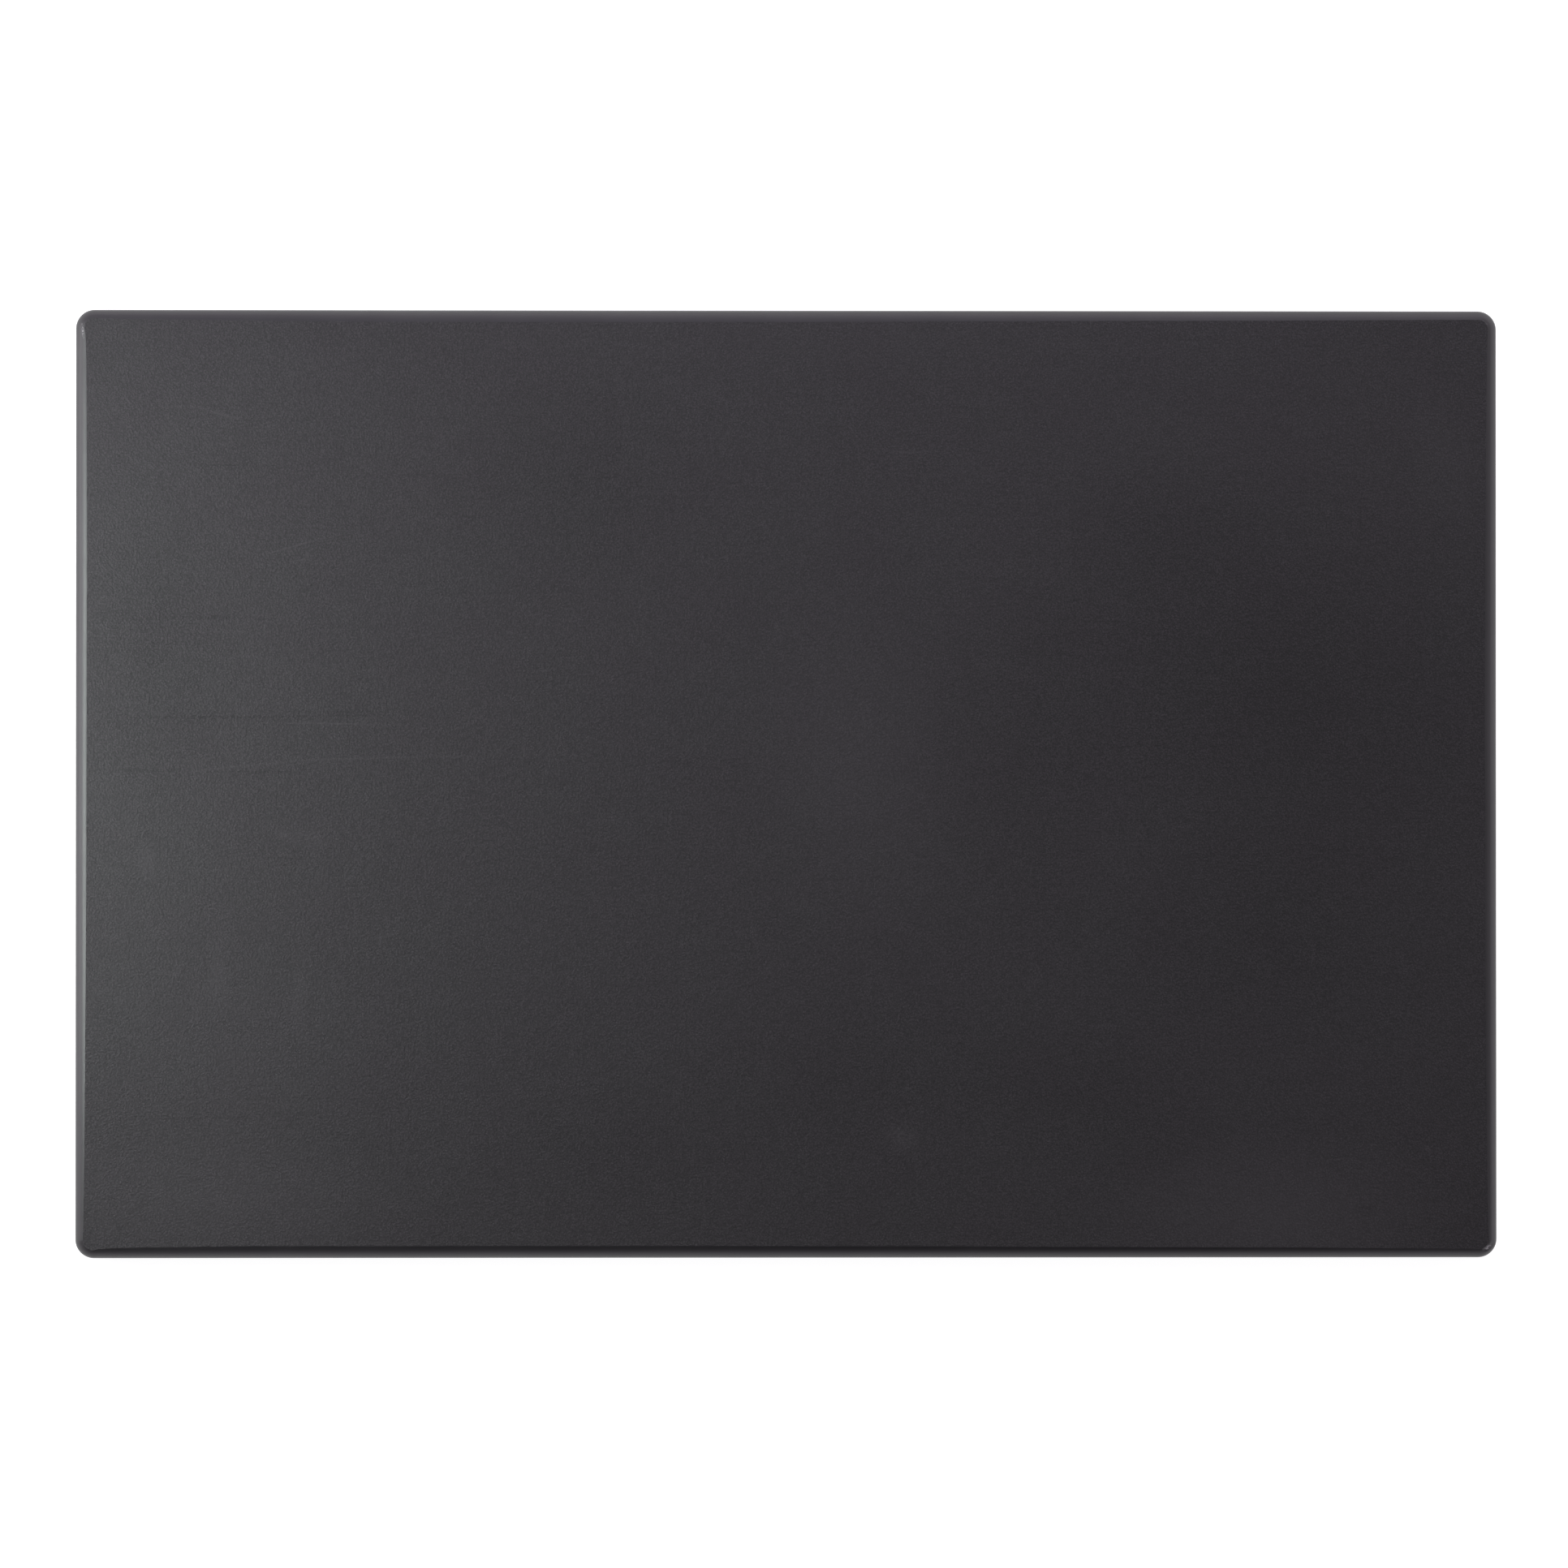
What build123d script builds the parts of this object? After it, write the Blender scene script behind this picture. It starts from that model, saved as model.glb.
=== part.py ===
from build123d import *
import os

# A thick black self-healing mat for cutting and punching leather. It is a laminate slab: a soft
# healing ply on each face, a stiff core between them, and a hot-melt film on each side of the core.
# The stack is pressed, cut to size and its edges are routed, so every ply ends flush at the wall.
# Both faces are worked on, so the mat is the same either way up.
#
# Frame: origin at the centre of the underside, +X along the length, +Y along the width, +Z up.
# Units: millimetres.

INCH = 25.4
MAT_LENGTH = 18 * INCH
MAT_WIDTH = 12 * INCH
MAT_THICKNESS = 0.5 * INCH

CORNER_RADIUS = 6.0        # the four corners, seen from above
EDGE_RADIUS = 4.0          # quarter-round routed along the rim of each working face

HEALING_PLY_THICKNESS = 4.5
BOND_FILM_THICKNESS = 0.2
CORE_THICKNESS = MAT_THICKNESS - 2 * (HEALING_PLY_THICKNESS + BOND_FILM_THICKNESS)


def flat_ply(base_height, thickness):
    """A sheet with the mat's plan outline, from base_height up."""
    outline = RectangleRounded(MAT_LENGTH, MAT_WIDTH, CORNER_RADIUS)
    return Pos(0, 0, base_height) * extrude(outline, amount=thickness)


def rounded_rim(ply, face_height):
    """The ply with the quarter-round along the edges that lie in its working face."""
    rim_edges = ply.edges().filter_by_position(Axis.Z, face_height, face_height)
    return fillet(rim_edges, EDGE_RADIUS)


def bottom_healing_ply(base_height):
    ply = flat_ply(base_height, HEALING_PLY_THICKNESS)
    return rounded_rim(ply, base_height)


def top_healing_ply(base_height):
    ply = flat_ply(base_height, HEALING_PLY_THICKNESS)
    return rounded_rim(ply, base_height + HEALING_PLY_THICKNESS)


def bond_film(base_height):
    return flat_ply(base_height, BOND_FILM_THICKNESS)


def rigid_core(base_height):
    return flat_ply(base_height, CORE_THICKNESS)


# The stack from the underside up: node name, the function that makes it, its thickness.
STACK = [
    ("bottom_healing_ply", bottom_healing_ply, HEALING_PLY_THICKNESS),
    ("lower_bond_film", bond_film, BOND_FILM_THICKNESS),
    ("rigid_core", rigid_core, CORE_THICKNESS),
    ("upper_bond_film", bond_film, BOND_FILM_THICKNESS),
    ("top_healing_ply", top_healing_ply, HEALING_PLY_THICKNESS),
]

os.makedirs("parts", exist_ok=True)
height = 0.0
for node, make_ply, thickness in STACK:
    export_step(make_ply(height), f"parts/{node}.step")
    height += thickness
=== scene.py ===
import math

import bpy
import numpy as np
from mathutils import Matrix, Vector, noise


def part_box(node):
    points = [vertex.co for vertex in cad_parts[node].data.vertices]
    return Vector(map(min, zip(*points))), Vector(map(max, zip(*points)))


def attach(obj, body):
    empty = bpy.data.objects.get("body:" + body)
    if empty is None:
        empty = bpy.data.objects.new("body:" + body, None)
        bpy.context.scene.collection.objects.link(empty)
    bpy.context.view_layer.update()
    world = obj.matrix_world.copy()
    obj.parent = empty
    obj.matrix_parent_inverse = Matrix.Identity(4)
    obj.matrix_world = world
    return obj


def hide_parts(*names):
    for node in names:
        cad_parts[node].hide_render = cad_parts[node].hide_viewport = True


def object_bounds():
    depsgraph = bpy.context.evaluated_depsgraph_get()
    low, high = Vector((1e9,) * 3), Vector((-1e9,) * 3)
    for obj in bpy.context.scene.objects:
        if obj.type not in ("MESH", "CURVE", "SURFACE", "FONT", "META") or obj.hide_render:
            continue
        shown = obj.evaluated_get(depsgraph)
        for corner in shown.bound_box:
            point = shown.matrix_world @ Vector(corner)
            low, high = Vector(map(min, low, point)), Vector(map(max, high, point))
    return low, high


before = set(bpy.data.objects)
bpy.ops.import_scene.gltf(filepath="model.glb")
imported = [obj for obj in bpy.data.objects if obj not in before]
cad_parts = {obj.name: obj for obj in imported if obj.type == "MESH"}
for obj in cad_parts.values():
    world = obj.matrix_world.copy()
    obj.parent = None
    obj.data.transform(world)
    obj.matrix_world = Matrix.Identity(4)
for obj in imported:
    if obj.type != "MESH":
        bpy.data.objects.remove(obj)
cad_low, cad_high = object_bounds()

MM = 0.001

# ---------------------------------------------------------------------------------------------
# Sizes. The plan outline and the ply heights come from the frame; these are the details on them.
# ---------------------------------------------------------------------------------------------

LENGTH = cad_high.x - cad_low.x
WIDTH = cad_high.y - cad_low.y
CENTRE = (cad_low + cad_high) / 2

CORNER_RADIUS = 6.0 * MM
RIM_RADIUS = 4.0 * MM           # the quarter-round that is routed along each working face
ARRIS_LEAN = 0.09               # the round meets the face at this slope or more, so the arris is crisp

# The face dips a little towards the corners, so it cuts the round shorter there. Anticlockwise,
# each side has the round's width at its start, its greatest width, and the share of the way there.
RIM_WIDTHS = {
    "right": (2.75 * MM, 3.95 * MM, 0.50),
    "far": (2.90 * MM, 3.95 * MM, 0.65),
    "left": (2.80 * MM, 3.80 * MM, 0.30),
    "near": (2.55 * MM, 4.05 * MM, 0.28),
}
SIDES = list(RIM_WIDTHS)
SEAM_CHAMFER = 0.12 * MM        # the broken edge of a ply where it meets the next one
SEAM_DEPTH = 0.14 * MM          # how far the bond film sits back from the wall

RIM_CROWN = 0.6                 # how sharply the width rises from a corner
WIDEST_RIM = 0.995 * RIM_RADIUS

# Waves: how high each kind is, and how far apart its crests are. The first two are in the width of
# the round, which wanders and has the cutter's chatter; the others are in the pressed face.
RIM_DRIFT = (0.16 * MM, 40 * MM)
RIM_CHATTER = (0.05 * MM, 3.0 * MM)
SLOW_WAVES = (0.030 * MM, 95 * MM)
ORANGE_PEEL = (0.007 * MM, 4.2 * MM)
DRAW_LINES = (0.004 * MM, 5.0 * MM)
DRAWN_OUT = 0.03                # along the length the draw lines change at this share of the rate

CELL = 1.3 * MM                 # spacing of the face's mesh lines
CORNER_STEPS = 14
RIM_STEPS = 12


# ---------------------------------------------------------------------------------------------
# Meshes
# ---------------------------------------------------------------------------------------------

def outline_columns():
    """The mat's outline, anticlockwise from the near end of the right side, as mesh columns.

    Each column is (side, share of the way along it, anchor x, anchor y, outward x, outward y).
    A point at distance d inside the outline lies at anchor + (CORNER_RADIUS - d) * outward."""
    half_x = LENGTH / 2 - CORNER_RADIUS
    half_y = WIDTH / 2 - CORNER_RADIUS
    count_x = round(2 * half_x / CELL)
    count_y = round(2 * half_y / CELL)
    corners = [(half_x, -half_y), (half_x, half_y), (-half_x, half_y), (-half_x, -half_y)]
    columns = []
    for k, side in enumerate(SIDES):
        start, end = corners[k], corners[(k + 1) % 4]
        steps = count_y if k % 2 == 0 else count_x
        normal = k * math.pi / 2
        for i in range(steps + 1):
            share = i / steps
            x = start[0] + (end[0] - start[0]) * share
            y = start[1] + (end[1] - start[1]) * share
            columns.append((side, share, x, y, math.cos(normal), math.sin(normal)))
        for i in range(1, CORNER_STEPS):
            turn = normal + i / CORNER_STEPS * math.pi / 2
            columns.append((side, 1.0, end[0], end[1], math.cos(turn), math.sin(turn)))
    return columns, count_x, count_y


COLUMNS, COUNT_X, COUNT_Y = outline_columns()


def wavy(x, y, waves, seed):
    """How high the waves stand here: smooth noise, either side of 0."""
    height, spacing = waves
    return height * noise.noise(Vector((x / spacing, y / spacing, seed)))


def face_relief(x, y, seed):
    """How far the pressed face stands off its mean height: slow waves, orange peel and the faint
    lines that the sheet was drawn out with, which run along the length."""
    slow = wavy(x, y, SLOW_WAVES, seed)
    peel = wavy(x, y, ORANGE_PEEL, seed + 11)
    drawn = wavy(x * DRAWN_OUT, y, DRAW_LINES, seed + 23)
    return slow + peel + drawn


def rim_width(column, seed):
    """How far in from the wall the routed round meets the face, at this column."""
    side, share, x, y, out_x, out_y = column
    start, widest, widest_at = RIM_WIDTHS[side]
    end = RIM_WIDTHS[SIDES[(SIDES.index(side) + 1) % 4]][0]
    skewed = share ** (math.log(0.5) / math.log(widest_at))
    crown = max(0.0, math.sin(math.pi * skewed)) ** RIM_CROWN
    low = start + (end - start) * share
    edge_x, edge_y = x + CORNER_RADIUS * out_x, y + CORNER_RADIUS * out_y
    drift = crown * wavy(edge_x, edge_y, RIM_DRIFT, seed + 31)
    chatter = wavy(edge_x, edge_y, RIM_CHATTER, seed + 37)
    return min(WIDEST_RIM, low + (widest - low) * crown + drift + chatter)


# Knocks on the round of the working face, in mm from the middle: from, to, breadth and depth.
RIM_KNOCKS = [
    ((224.7, -149.8), (227.0, -148.3), 1.5, 0.30),
    ((-227.6, 145.4), (-227.4, 142.6), 0.9, 0.16),
    ((-224.9, -148.4), (-225.9, -147.3), 1.2, 0.22),
]


def distance_to(x, y, start, end):
    """How far the point (x, y) is from the line between start and end; all in mm."""
    start, end, point = Vector(start), Vector(end), Vector((x, y))
    along = (point - start).dot(end - start) / (end - start).length_squared
    nearest = start.lerp(end, min(1.0, max(0.0, along)))
    return (point - nearest).length


def knocked_off(x, y):
    """How much the knocks have taken off the round at this place."""
    deepest = 0.0
    for start, end, breadth, depth in RIM_KNOCKS:
        away = distance_to(x / MM, y / MM, start, end) / (breadth / 2)
        if away < 1:
            deepest = max(deepest, depth * (1 - away * away))
    return deepest * MM


def ring(columns, insets, heights):
    """One closed ring of points, given each column's distance inside the outline and its height."""
    return [
        (x + (CORNER_RADIUS - d) * out_x, y + (CORNER_RADIUS - d) * out_y, z)
        for (_, _, x, y, out_x, out_y), d, z in zip(columns, insets, heights)
    ]


def level_ring(inset, height):
    """A closed ring at one distance inside the outline and one height."""
    return ring(COLUMNS, [inset] * len(COLUMNS), [height] * len(COLUMNS))


def stitch(faces, ring_a, ring_b):
    """Faces between two rings of vertex numbers; ring_a may repeat a number, which gives a triangle."""
    count = len(ring_a)
    for i in range(count):
        j = (i + 1) % count
        if ring_a[i] == ring_a[j]:
            faces.append((ring_a[i], ring_b[i], ring_b[j]))
        else:
            faces.append((ring_a[i], ring_b[i], ring_b[j], ring_a[j]))


def lattice_border():
    """The lattice vertex under each outline column: its border, anticlockwise from the right side."""
    def number(i, j):
        return j * (COUNT_X + 1) + i

    border = []
    sides = [
        [number(COUNT_X, j) for j in range(COUNT_Y + 1)],
        [number(i, COUNT_Y) for i in range(COUNT_X, -1, -1)],
        [number(0, j) for j in range(COUNT_Y, -1, -1)],
        [number(i, 0) for i in range(COUNT_X + 1)],
    ]
    for side in sides:
        border += side + [side[-1]] * (CORNER_STEPS - 1)
    return border


def new_object(name, points, faces, face_materials, materials, sharp_rings):
    """A smooth-shaded mesh object whose edges along the sharp rings are creases."""
    mesh = bpy.data.meshes.new(name)
    mesh.from_pydata(points, [], faces)
    for material in materials:
        mesh.materials.append(material)
    mesh.polygons.foreach_set("material_index", face_materials)
    mesh.polygons.foreach_set("use_smooth", [True] * len(faces))
    ring_of = {}
    for number, members in enumerate(sharp_rings):
        for vertex in members:
            ring_of[vertex] = number
    sharp = mesh.attributes.new("sharp_edge", "BOOLEAN", "EDGE")
    ends = np.zeros(len(mesh.edges) * 2, np.int32)
    mesh.edges.foreach_get("vertices", ends)
    flags = [
        a in ring_of and ring_of.get(a) == ring_of.get(b)
        for a, b in ends.reshape(-1, 2).tolist()
    ]
    sharp.data.foreach_set("value", flags)
    mesh.validate()
    piece = bpy.data.objects.new(name, mesh)
    bpy.context.scene.collection.objects.link(piece)
    return piece


def healing_ply(name, node, face_up, materials, seed):
    """A healing ply: the relieved face, the routed round, the wall and a flat side on the bond film."""
    low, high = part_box(node)
    thickness = high.z - low.z
    half_x = LENGTH / 2 - CORNER_RADIUS
    half_y = WIDTH / 2 - CORNER_RADIUS

    # The ply is worked out face up, at first with heights measured from the face's mean level.
    points = [
        (x, y, face_relief(x, y, seed))
        for y in np.linspace(-half_y, half_y, COUNT_Y + 1).tolist()
        for x in np.linspace(-half_x, half_x, COUNT_X + 1).tolist()
    ]
    row = COUNT_X + 1               # how many points each line of the face has
    faces = [
        (j * row + i, j * row + i + 1, (j + 1) * row + i + 1, (j + 1) * row + i)
        for j in range(COUNT_Y)
        for i in range(COUNT_X)
    ]

    widths = [rim_width(column, seed) for column in COLUMNS]
    previous = lattice_border()

    def add_ring(insets, heights):
        nonlocal previous
        first = len(points)
        points.extend(ring(COLUMNS, insets, heights))
        members = list(range(first, first + len(COLUMNS)))
        stitch(faces, previous, members)
        previous = members
        return members

    # Two rings carry the face out to the arris, where the round begins.
    for share in (0.5, 1.0):
        insets = [CORNER_RADIUS + (w - CORNER_RADIUS) * share for w in widths]
        flat = ring(COLUMNS, insets, [0.0] * len(COLUMNS))
        arris = add_ring(insets, [face_relief(x, y, seed) for x, y, _ in flat])
    face_count = len(faces)
    arris_heights = [points[v][2] for v in arris]

    # The round: its axis is one radius inside the wall, as deep under the arris as its width says.
    radii = [max(RIM_RADIUS, w / (1 - ARRIS_LEAN)) for w in widths]
    first_turn = [math.asin((r - w) / r) for r, w in zip(radii, widths)]
    axis_height = [z - r * math.cos(a) for z, r, a in zip(arris_heights, radii, first_turn)]
    for step in range(1, RIM_STEPS + 1):
        turns = [a + (math.pi / 2 - a) * step / RIM_STEPS for a in first_turn]
        insets = [r * (1 - math.sin(t)) for r, t in zip(radii, turns)]
        heights = [z + r * math.cos(t) for z, r, t in zip(axis_height, radii, turns)]
        if face_up:
            lost = [knocked_off(x, y) for x, y, _ in ring(COLUMNS, insets, heights)]
            insets = [d + loss * math.sin(t) for d, loss, t in zip(insets, lost, turns)]
            heights = [z - loss * math.cos(t) for z, loss, t in zip(heights, lost, turns)]
        add_ring(insets, heights)

    # Everything so far hangs from the face; move it so that the highest point is the CAD face.
    top = max(point[2] for point in points)
    points[:] = [(x, y, z - top + thickness) for x, y, z in points]
    nothing = [0.0] * len(COLUMNS)
    broken_edge = [SEAM_CHAMFER] * len(COLUMNS)
    add_ring(nothing, broken_edge)
    inner_edge = add_ring(broken_edge, nothing)
    faces.append(tuple(reversed(inner_edge)))

    face_materials = [0] * face_count + [1] * (len(faces) - face_count)
    if face_up:
        placed = [(x, y, low.z + z) for x, y, z in points]
    else:
        placed = [(x, y, high.z - z) for x, y, z in points]
        faces = [tuple(reversed(face)) for face in faces]
    piece = new_object(name, placed, faces, face_materials, materials, [arris, inner_edge])
    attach(piece, "root")
    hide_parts(node)


def inner_sheet(name, node, inset, chamfer, material):
    """A flat sheet of the laminate, set back from the wall by inset. A chamfer breaks its edges."""
    low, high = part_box(node)
    levels = [(inset, low.z + chamfer), (inset, high.z - chamfer)]
    if chamfer:
        levels = [(inset + chamfer, low.z), *levels, (inset + chamfer, high.z)]
    points = []
    faces = []
    rings = []
    for distance, height in levels:
        first = len(points)
        points.extend(level_ring(distance, height))
        rings.append(list(range(first, first + len(COLUMNS))))
    for lower, upper in zip(rings, rings[1:]):
        stitch(faces, upper, lower)
    faces.append(tuple(reversed(rings[0])))
    faces.append(tuple(rings[-1]))
    piece = new_object(name, points, faces, [0] * len(faces), [material], [rings[0], rings[-1]])
    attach(piece, "root")
    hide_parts(node)


# ---------------------------------------------------------------------------------------------
# Materials
# ---------------------------------------------------------------------------------------------

class Nodes:
    """A node tree under construction."""

    def __init__(self, owner):
        owner.use_nodes = True
        self.nodes = owner.node_tree.nodes
        self.links = owner.node_tree.links

    def node(self, kind, **settings):
        made = self.nodes.new(kind)
        for key, value in settings.items():
            setattr(made, key, value)
        return made

    def feed(self, socket, value):
        if isinstance(value, bpy.types.NodeSocket):
            self.links.new(value, socket)
        else:
            socket.default_value = value

    def maths(self, operation, a, b=0.0, c=0.0):
        made = self.node("ShaderNodeMath", operation=operation)
        for socket, value in zip(made.inputs, (a, b, c)):
            self.feed(socket, value)
        return made.outputs[0]


class Shader(Nodes):
    """A node material under construction. Most methods add a node and return its output."""

    def __init__(self, name):
        self.material = bpy.data.materials.new(name)
        super().__init__(self.material)
        self.surface = self.nodes["Principled BSDF"]
        self.position = self.node("ShaderNodeTexCoord").outputs["Object"]

    def give(self, name, value):
        """Give the surface's input of this name a number, a colour or a node's output."""
        self.feed(self.surface.inputs[name], value)

    def stretched(self, factors):
        """Position with each axis multiplied, to stretch a pattern along one of them."""
        made = self.node("ShaderNodeVectorMath", operation="MULTIPLY")
        self.feed(made.inputs[0], self.position)
        self.feed(made.inputs[1], factors)
        return made.outputs[0]

    def noise(self, size, detail=2.0, vector=None, offset=0.0):
        """Noise with features about size metres apart."""
        made = self.node("ShaderNodeTexNoise", noise_dimensions="4D")
        self.feed(made.inputs["Vector"], vector or self.position)
        self.feed(made.inputs["W"], offset)
        self.feed(made.inputs["Scale"], 1 / size)
        self.feed(made.inputs["Detail"], detail)
        return made.outputs["Fac"]

    def cells(self, size, smoothness):
        """Rounded cells about size metres across, highest at their middles."""
        made = self.node("ShaderNodeTexVoronoi", feature="SMOOTH_F1")
        self.feed(made.inputs["Vector"], self.position)
        self.feed(made.inputs["Scale"], 1 / size)
        self.feed(made.inputs["Smoothness"], smoothness)
        return self.maths("SUBTRACT", 1.0, made.outputs["Distance"])

    def mark(self, start, end, breadth):
        """A long thin oval from start to end, in mm: 1 at its middle, falling to 0 at its edge."""
        start, end = Vector((*start, 0)) * MM, Vector((*end, 0)) * MM
        placed = self.node("ShaderNodeMapping", vector_type="TEXTURE")
        self.feed(placed.inputs["Vector"], self.position)
        self.feed(placed.inputs["Location"], (start + end) / 2)
        self.feed(placed.inputs["Rotation"], (0, 0, math.atan2(end.y - start.y, end.x - start.x)))
        self.feed(placed.inputs["Scale"], ((end - start).length / 2, breadth * MM / 2, 1))
        oval = self.node("ShaderNodeTexGradient", gradient_type="SPHERICAL")
        self.feed(oval.inputs["Vector"], placed.outputs["Vector"])
        return oval.outputs["Fac"]

    def marks(self, listed):
        """All the marks of a list together, each times its strength."""
        total = 0.0
        for start, end, breadth, strength in listed:
            total = self.maths("MULTIPLY_ADD", self.mark(start, end, breadth), strength, total)
        return total

    def spread(self, value, low, high, to_low=0.0, to_high=1.0):
        """A value from low to high, eased out to run from to_low to to_high."""
        made = self.node("ShaderNodeMapRange", interpolation_type="SMOOTHSTEP")
        for socket, number in zip(made.inputs[1:5], (low, high, to_low, to_high)):
            self.feed(socket, number)
        self.feed(made.inputs["Value"], value)
        return made.outputs["Result"]

    def blend_colours(self, factor, a, b, kind="MIX"):
        """Colour a with as much of colour b blended in as factor says."""
        made = self.node("ShaderNodeMix", data_type="RGBA", blend_type=kind, clamp_result=True)
        self.feed(made.inputs["Factor"], factor)
        self.feed(made.inputs["A"], a)
        self.feed(made.inputs["B"], b)
        return made.outputs["Result"]

    def bump(self, height, depth, below=None):
        """Relief from a height that runs from 0 to 1 over depth metres, on top of the relief below."""
        made = self.node("ShaderNodeBump")
        self.feed(made.inputs["Strength"], 1.0)
        self.feed(made.inputs["Distance"], depth)
        self.feed(made.inputs["Height"], height)
        if below:
            self.feed(made.inputs["Normal"], below)
        return made.outputs["Normal"]


# Broad, faint patches on the working face, in mm from its middle: from, to, breadth, and how much
# lighter or darker the face is painted there. The darker patches towards the right are painted shade,
# standing in for the light falling off on that side; the others only make the face a little lighter
# or darker in broad patches.
FACE_PATCHES_AND_PAINTED_SHADE = [
    ((70, 66), (250, -4), 150.0, -2.40),
    ((80, -48), (230, -52), 80.0, -1.40),
    ((50, -95), (145, -105), 55.0, -1.00),
    ((80, 90), (160, 75), 50.0, -0.80),
    ((72, 72), (80, -62), 60.0, -0.90),
    ((-115, 98), (-20, 94), 85.0, -1.00),
    ((-105, -118), (-20, -116), 45.0, -0.70),
    ((-60, -108), (95, -88), 60.0, -0.80),
    ((-206, 100), (-202, -15), 60.0, -1.20),
    ((-215, -95), (-120, -80), 70.0, 0.20),
    ((-250, -130), (-110, -136), 50.0, 0.50),
    ((95, -141), (220, -138), 60.0, 0.75),
    ((-150, 150), (190, 150), 40.0, 0.20),
    ((15, 70), (28, -60), 75.0, 0.40),
    ((200, 100), (225, 110), 60.0, 0.30),
]
# The marks that use has left on it, listed the same way: rougher and lighter, or rubbed lines painted
# darker, a painted shade standing in for the dimmer reflection of rubbed, smoother polymer.
FACE_MARKS_WITH_PAINTED_SHADE = [
    # One long shallow scratch on the left, in overlapping lengths.
    ((-220, 0.2), (-170, 6.6), 1.0, 0.9),
    ((-190, 4.2), (-150, 8.0), 1.0, 0.9),
    ((-164, 7.2), (-112, 9.0), 1.0, 1.0),
    ((-127, 8.7), (-92, 8.8), 1.0, 0.6),
    # Other scratches.
    ((-206, 121.8), (-184, 120.5), 1.0, 0.6),
    ((-190, 121), (-173, 116), 1.2, 1.5),
    ((-170, 73.0), (-149, 79.0), 0.9, 1.4),
    ((-156, 77.2), (-138, 81.3), 0.9, 0.4),
    ((-174.5, 59), (-171.4, 42), 0.9, 0.7),
    ((-207, 47.0), (-174, 47.8), 1.3, 0.7),
    ((-205, 41.3), (-173, 41.6), 0.9, 0.7),
    ((-172, 19.6), (-120, 19.0), 0.9, 1.0),
    ((-189, 20), (-188.6, -4), 0.9, 0.6),
    ((30, 106.4), (48, 107.0), 1.4, 0.7),
    ((134, -53.4), (200, -53.6), 1.2, 0.5),
    # Rubbed lines, painted darker: painted shade for their dimmer reflection.
    ((-197, 102.4), (-158, 102.2), 1.1, -1.5),
    ((-121, 61.1), (-84, 61.4), 0.8, -1.3),
    ((-208, 53.4), (-166, 53.4), 1.4, -1.5),
    ((-220, 44.9), (-183, 44.7), 0.9, -1.3),
    ((-224, 42.8), (-196, 42.7), 0.9, -1.6),
    ((-170, 23.1), (-116, 22.9), 0.8, -1.3),
    ((-228, 21.3), (-140, 21.5), 1.2, -2.1),
    ((-165, 21.6), (-120, 22.2), 1.1, -1.8),
    ((-226, 4.1), (-192, 4.2), 1.9, -2.0),
    ((-190, 3.6), (-152, 3.9), 1.5, -1.9),
    ((-106, -26.9), (-86, -23.2), 1.0, -1.7),
    ((-168, -24.0), (-151, -24.2), 0.9, -1.3),
    ((-224, -107.8), (-172, -107.2), 1.1, -1.1),
    ((11, 62.5), (18, 65.1), 0.8, -1.9),
    ((5.5, 48.9), (9.4, 45.8), 0.9, -1.9),
    ((15.7, -105.5), (25.1, -112.6), 0.9, -1.9),
    # Scuffs and small spots.
    ((-206, -18), (-205, -33), 7.0, 0.9),
    ((27, -111), (46, -116), 16.0, 0.95),
    ((-198, -61), (-195, -61.3), 2.0, 1.2),
    ((-165, -16.3), (-159, -16.5), 2.4, 0.9),
    ((-139, -50.4), (-120, -47.2), 1.6, 0.5),
    ((205, -117), (207, -117), 2.5, 1.0),
    ((-195.4, -91.7), (-194, -91.7), 1.2, -2.4),
    ((-38, 88), (-36, 88), 1.2, -1.8),
    ((-59, 103.2), (-56, 103.2), 1.2, -1.2),
    ((182, -136.5), (191, -137.0), 3.0, -0.5),
    ((134, -65.0), (146, -65.4), 4.5, -0.7),
    ((116, -5), (138, -12), 26.0, 0.35),
    ((105, -55), (113, -56), 10.0, 0.40),
    ((-165, -17), (-143, -18), 9.0, 0.45),
    ((-181, -43), (-184, -78), 10.0, 0.40),
    ((-156, -52), (-157, -84), 7.0, 0.40),
]
# The same for torn, lighter places on the round.
RIM_MARKS = [
    ((224.2, -149.8), (226.8, -148.5), 1.3, 1.6),
    ((-226.6, 148.4), (-226.0, 142.6), 0.9, 0.60),
    ((223.2, 149.5), (226.0, 146.9), 2.0, 0.20),
]
# Colours in linear light.
VALLEY_PAINTED_SHADE = (0.0042, 0.0041, 0.0044, 1)        # painted shade: the face between its pebbles, darker as if shaded by them
PEBBLE_TOP_UNSHADED = (0.0288, 0.0265, 0.0290, 1)    # and on top of them, where no shade is painted
WARM = (0.97, 0.92, 0.955, 1)               # these three multiply the face's colour here and there
DIM = (0.90, 0.90, 0.90, 1)
STREAK = (0.94, 0.94, 0.94, 1)
RUBBED_PAINTED_SHADE = (0.0105, 0.0100, 0.0105, 1)        # painted shade: rubbed lines and the darker patches take this off the face's colour
SCUFF = (0.060, 0.057, 0.060, 1)            # scuffing turns the face towards this
TORN = (0.30, 0.29, 0.30, 1)                # and tearing turns the rim towards this
RIM_TONES = ((0.0105, 0.0100, 0.0110, 1), (0.0130, 0.0125, 0.0135, 1))
CORE_TONES = ((0.0190, 0.0190, 0.0200, 1), (0.0240, 0.0240, 0.0250, 1))
GLUE_TONES = ((0.0050, 0.0048, 0.0052, 1), (0.0090, 0.0085, 0.0085, 1))

SCUFF_COVER = 0.25                  # how much of its colour a mark or patch of strength 1 brings in
RUB_PAINTED_SHADE_COVER = 0.30

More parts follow.
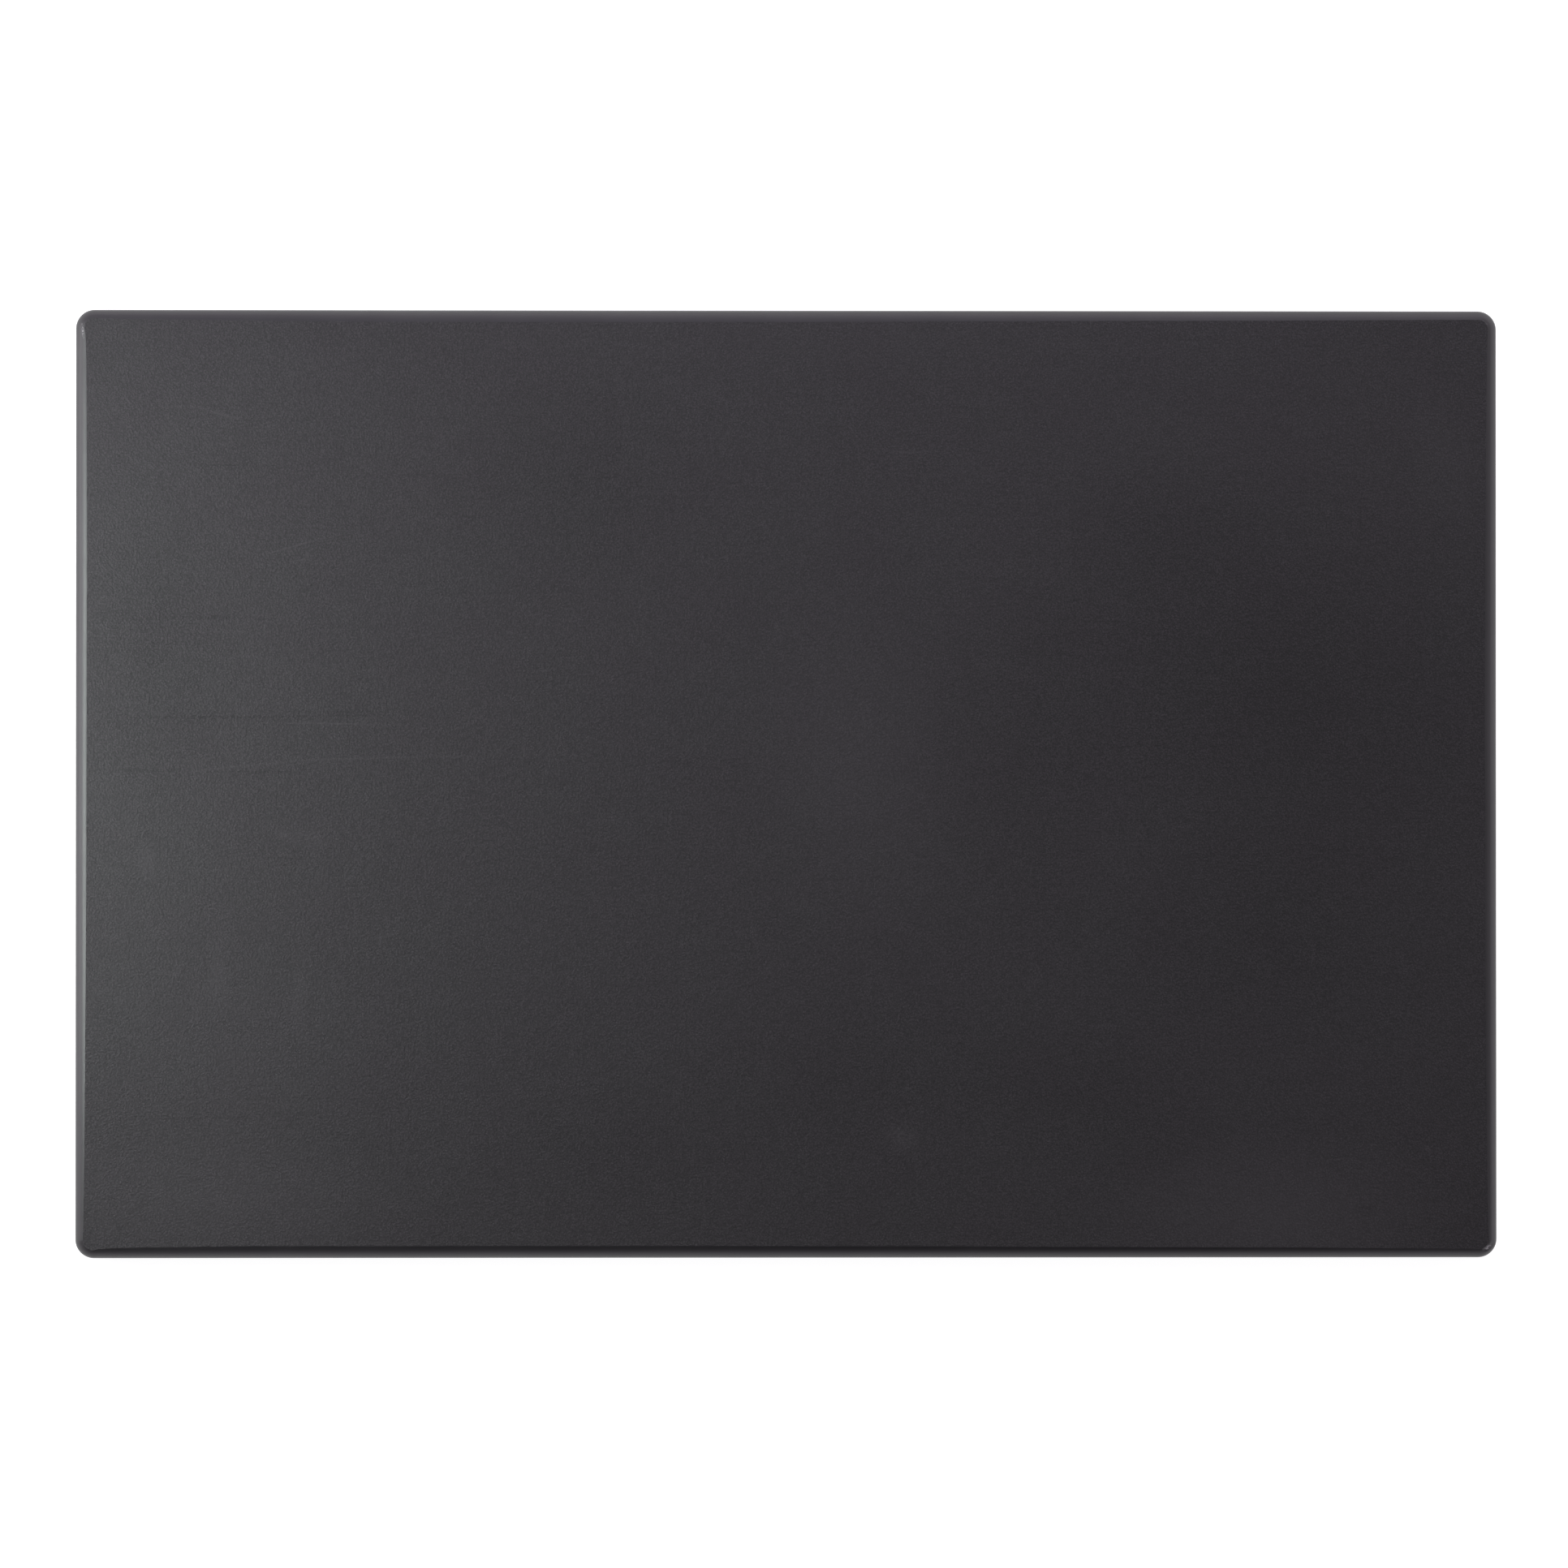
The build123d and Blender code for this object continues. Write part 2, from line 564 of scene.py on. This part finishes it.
# Roughness: the least and the most of each surface, and what a mark of strength 1 adds to it.
FACE_ROUGHNESS = (0.645, 0.67)
RIM_ROUGHNESS = (0.40, 0.42)
CORE_ROUGHNESS = (0.40, 0.50)
GLUE_ROUGHNESS = (0.25, 0.40)
SCUFF_DULLING = 0.10
TORN_DULLING = 0.30

PEBBLE = 0.66 * MM                  # the size of the cells that the pebble grain grows from
SPECK = 0.42 * MM                   # and of the finer roughness on it

# How deep each relief is: on the face, on the rim, then on the edges of the core and the film.
DRAWN_DEPTH = 0.004 * MM
UNEVEN_DEPTH = 0.040 * MM
PEBBLE_DEPTH = 0.080 * MM
SPECK_DEPTH = 0.028 * MM
CHATTER_DEPTH = 0.006 * MM
PIT_DEPTH = 0.10 * MM
CUTTER_DEPTH = 0.02 * MM
BLOB_DEPTH = 0.02 * MM


def pebbled_face(name, patches_and_painted_shade, marks):
    """A ply's face: black polymer pressed with a fine pebble grain, matt but not dull."""
    shader = Shader(name)
    grain = shader.cells(PEBBLE, 0.4)
    fine = shader.noise(SPECK, 0.5)
    uneven = shader.noise(2.4 * MM, 2.0, offset=1.0)
    drawn = shader.noise(1.6 * MM, 2.0, vector=shader.stretched((0.012, 1.0, 1.0)), offset=7.0)
    patchy = shader.spread(shader.noise(1.3 * MM, 2.0, offset=16.0), 0.35, 0.65, 0.5, 1.2)
    wear_and_painted_shade = shader.maths("MULTIPLY", shader.marks(marks), patchy)
    # tone holds the marks and the patches; its darker patches towards the right are painted shade.
    tone = shader.maths("ADD", wear_and_painted_shade, shader.marks(patches_and_painted_shade))

    # Painted shade: the valleys between the pebbles are painted darker than their tops, as if the grain
    # shaded them.
    pebble_tops_unshaded = shader.spread(grain, 0.45, 0.85, 0.0, 0.5)
    speck_tops_unshaded = shader.spread(fine, 0.30, 0.70, 0.0, 0.5)
    colour = shader.blend_colours(
        shader.maths("ADD", pebble_tops_unshaded, speck_tops_unshaded),
        VALLEY_PAINTED_SHADE,
        PEBBLE_TOP_UNSHADED,
    )
    warmth = shader.spread(shader.noise(24 * MM, 3.0, offset=5.0), 0.35, 0.65)
    colour = shader.blend_colours(warmth, colour, WARM, kind="MULTIPLY")
    mottled = shader.spread(shader.noise(5 * MM, 5.0, offset=6.0), 0.3, 0.7)
    colour = shader.blend_colours(mottled, colour, DIM, kind="MULTIPLY")
    streaked = shader.spread(drawn, 0.3, 0.7)
    colour = shader.blend_colours(streaked, colour, STREAK, kind="MULTIPLY")
    scuffed = shader.maths("MULTIPLY", shader.maths("MAXIMUM", tone, 0.0), SCUFF_COVER)
    colour = shader.blend_colours(scuffed, colour, SCUFF)
    # Painted shade: the rubbed lines and the darker patches are taken off the face's colour here.
    rubbed_painted_shade = shader.maths("MULTIPLY", shader.maths("MINIMUM", tone, 0.0), -RUB_PAINTED_SHADE_COVER)
    colour = shader.blend_colours(rubbed_painted_shade, colour, RUBBED_PAINTED_SHADE, kind="SUBTRACT")
    shader.give("Base Color", colour)

    shine = shader.spread(shader.noise(11 * MM, 3.0, offset=3.0), 0.3, 0.7, *FACE_ROUGHNESS)
    scuffs = shader.maths("MAXIMUM", wear_and_painted_shade, 0.0)
    shine = shader.maths("MULTIPLY_ADD", scuffs, SCUFF_DULLING, shine)
    shader.give("Roughness", shine)

    relief = shader.bump(drawn, DRAWN_DEPTH)
    relief = shader.bump(uneven, UNEVEN_DEPTH, below=relief)
    relief = shader.bump(grain, PEBBLE_DEPTH, below=relief)
    relief = shader.bump(fine, SPECK_DEPTH, below=relief)
    shader.give("Normal", relief)
    return shader.material


def routed_rim(name, marks):
    """The rim and wall of a healing ply: the same polymer where a cutter has left it smoother."""
    shader = Shader(name)
    tone = shader.spread(shader.noise(18 * MM, 3.0), 0.35, 0.65)
    colour = shader.blend_colours(tone, *RIM_TONES)
    torn = shader.maths("MINIMUM", shader.marks(marks), 1.0)
    speckle = shader.spread(shader.noise(0.45 * MM, 2.0, offset=12.0), 0.42, 0.58, 0.1, 1.0)
    colour = shader.blend_colours(shader.maths("MULTIPLY", torn, speckle), colour, TORN)
    shader.give("Base Color", colour)
    shine = shader.spread(shader.noise(6 * MM, 2.0, offset=2.0), 0.3, 0.7, *RIM_ROUGHNESS)
    shader.give("Roughness", shader.maths("MULTIPLY_ADD", torn, TORN_DULLING, shine))
    chatter = shader.noise(0.9 * MM, 1.0, vector=shader.stretched((1.0, 1.0, 0.15)), offset=4.0)
    relief = shader.bump(chatter, CHATTER_DEPTH)
    pits = shader.noise(0.5 * MM, 1.0, offset=14.0)
    pitted = shader.maths("MULTIPLY", pits, torn)
    shader.give("Normal", shader.bump(pitted, PIT_DEPTH, below=relief))
    return shader.material


def routed_core():
    """The stiff core's edge: a harder, slightly greyer black with upright cutter marks."""
    shader = Shader("routed_core_board")
    tone = shader.spread(shader.noise(10 * MM, 3.0, offset=1.0), 0.35, 0.65)
    colour = shader.blend_colours(tone, *CORE_TONES)
    shader.give("Base Color", colour)
    shine = shader.spread(shader.noise(5 * MM, 2.0, offset=6.0), 0.3, 0.7, *CORE_ROUGHNESS)
    shader.give("Roughness", shine)
    marks = shader.noise(0.6 * MM, 2.0, vector=shader.stretched((1.0, 1.0, 0.08)), offset=9.0)
    shader.give("Normal", shader.bump(marks, CUTTER_DEPTH))
    return shader.material


def glue_line():
    """The bond film's edge: dark, a little glossy, squeezed out unevenly."""
    shader = Shader("hot_melt_film")
    tone = shader.spread(shader.noise(4 * MM, 2.0, offset=8.0), 0.35, 0.65)
    colour = shader.blend_colours(tone, *GLUE_TONES)
    shader.give("Base Color", colour)
    shine = shader.spread(shader.noise(2 * MM, 1.0, offset=8.5), 0.3, 0.7, *GLUE_ROUGHNESS)
    shader.give("Roughness", shine)
    blobs = shader.noise(0.8 * MM, 1.0, offset=9.5)
    shader.give("Normal", shader.bump(blobs, BLOB_DEPTH))
    return shader.material


# ---------------------------------------------------------------------------------------------
# The mat
# ---------------------------------------------------------------------------------------------

top_materials = [
    pebbled_face("pebbled_working_face", FACE_PATCHES_AND_PAINTED_SHADE, FACE_MARKS_WITH_PAINTED_SHADE),
    routed_rim("routed_working_rim", RIM_MARKS),
]
bottom_materials = [
    pebbled_face("pebbled_underside", [], []),
    routed_rim("routed_underside_rim", []),
]
core_material = routed_core()
film_material = glue_line()

healing_ply("pebbled_top_ply", "top_healing_ply", True, top_materials, seed=1.5)
inner_sheet("upper_glue_line", "upper_bond_film", SEAM_DEPTH, 0.0, film_material)
inner_sheet("core_board", "rigid_core", 0.0, SEAM_CHAMFER, core_material)
inner_sheet("lower_glue_line", "lower_bond_film", SEAM_DEPTH, 0.0, film_material)
healing_ply("pebbled_bottom_ply", "bottom_healing_ply", False, bottom_materials, seed=61.5)


# ---------------------------------------------------------------------------------------------
# Floor, light and camera
# ---------------------------------------------------------------------------------------------

FLOOR_SIDE = 12.0
FLOOR_GLOW = 0.92               # the sheet is lit from below, so it photographs pure white
FLOOR_TONE = 0.3
FLOOR_ROUGHNESS = 0.9
FLOOR_GAP = 0.02 * MM           # the floor is this much under the mat, so that they don't share a plane

ROOM_GLOW = 2.5                 # how bright the room is at the horizon
ROOM_FALL = 2.18                # how fast it falls off overhead
ROOM_TINT = (1.0, 0.925, 1.02)
ROOM_LEAN = (0.10, 0.32, 0.0)   # it is a little brighter towards the right and the far side

# Softboxes: where, how wide and high, how bright, and what colour. Each faces the mat's centre.
SOFTBOXES = {
    "key": ((-0.340, 0.013, 0.20), (0.226, 0.08), 13.0, (1.0, 1.095, 1.05)),
    "left_fill": ((-0.478, 0.063, 0.20), (0.364, 0.43), 2.9, (1.0, 0.975, 1.02)),
    "far_fill": ((-0.060, 0.306, 0.25), (0.770, 0.29), 1.02, (1.0, 0.935, 1.13)),
    "right_fill": ((0.700, 0.410, 0.91), (1.300, 0.88), 0.87, (1.0, 0.945, 1.02)),
}


def lay_floor():
    half = FLOOR_SIDE / 2
    corners = [(-half, -half, 0), (half, -half, 0), (half, half, 0), (-half, half, 0)]
    mesh = bpy.data.meshes.new("floor")
    mesh.from_pydata(corners, [], [(0, 1, 2, 3)])
    shader = Shader("lit_white_sheet")
    shader.give("Base Color", (FLOOR_TONE, FLOOR_TONE, FLOOR_TONE, 1))
    shader.give("Roughness", FLOOR_ROUGHNESS)
    shader.give("Emission Color", (1, 1, 1, 1))
    shader.give("Emission Strength", FLOOR_GLOW)
    mesh.materials.append(shader.material)
    floor = bpy.data.objects.new("floor", mesh)
    floor.location.z = cad_low.z - FLOOR_GAP
    bpy.context.scene.collection.objects.link(floor)


def hang_softbox(name, place, size, brightness, colour):
    """A rectangular softbox at place, turned to face the mat's centre. It doesn't show itself."""
    light = bpy.data.lights.new(name, "AREA")
    light.shape = "RECTANGLE"
    light.size, light.size_y = size
    light.energy = math.pi * size[0] * size[1] * brightness
    light.color = colour
    lamp = bpy.data.objects.new(name, light)
    lamp.location = place
    lamp.rotation_euler = (CENTRE - Vector(place)).to_track_quat("-Z", "Y").to_euler()
    lamp.visible_camera = False
    bpy.context.scene.collection.objects.link(lamp)


def light_room():
    """Soft light from all round, brightest at the horizon and dim overhead."""
    world = bpy.data.worlds.new("pale_room")
    tree = Nodes(world)
    direction = tree.node("ShaderNodeTexCoord").outputs["Generated"]
    height = tree.node("ShaderNodeSeparateXYZ")
    tree.feed(height.inputs[0], direction)
    lean = tree.node("ShaderNodeVectorMath", operation="DOT_PRODUCT")
    tree.feed(lean.inputs[0], direction)
    tree.feed(lean.inputs[1], ROOM_LEAN)
    fall = tree.maths("POWER", tree.maths("SUBTRACT", 1.0, height.outputs["Z"]), ROOM_FALL)
    sided = tree.maths("ADD", 1.0, lean.outputs["Value"])
    glow = tree.maths("MULTIPLY", tree.maths("MULTIPLY", fall, sided), ROOM_GLOW)

    backdrop = tree.nodes["Background"]
    tree.feed(backdrop.inputs["Color"], (*ROOM_TINT, 1))
    tree.feed(backdrop.inputs["Strength"], glow)
    bpy.context.scene.world = world


CAMERA_DISTANCE = 3.4
LEAN_LEFT = math.radians(1.22)      # the left side is a little nearer the lens
LEAN_NEAR = math.radians(0.66)      # and so is the near side
AIM = CENTRE + Vector((-0.9 * MM, 0, 0))
MAT_SHARE = 0.9054                  # how much of the picture's width the mat takes up
SENSOR = 36.0


def place_camera():
    data = bpy.data.cameras.new("camera")
    data.sensor_width = SENSOR
    data.lens = SENSOR * CAMERA_DISTANCE * MAT_SHARE / LENGTH
    camera = bpy.data.objects.new("camera", data)
    away = Vector((-math.sin(LEAN_LEFT), -math.sin(LEAN_NEAR), 1)).normalized()
    camera.location = AIM + away * CAMERA_DISTANCE
    camera.rotation_euler = (LEAN_NEAR, -LEAN_LEFT, 0)
    bpy.context.scene.collection.objects.link(camera)
    bpy.context.scene.camera = camera


lay_floor()
light_room()
for name, (place, size, brightness, colour) in SOFTBOXES.items():
    hang_softbox(name, place, size, brightness, colour)
place_camera()
bpy.context.scene.view_settings.view_transform = "Standard"
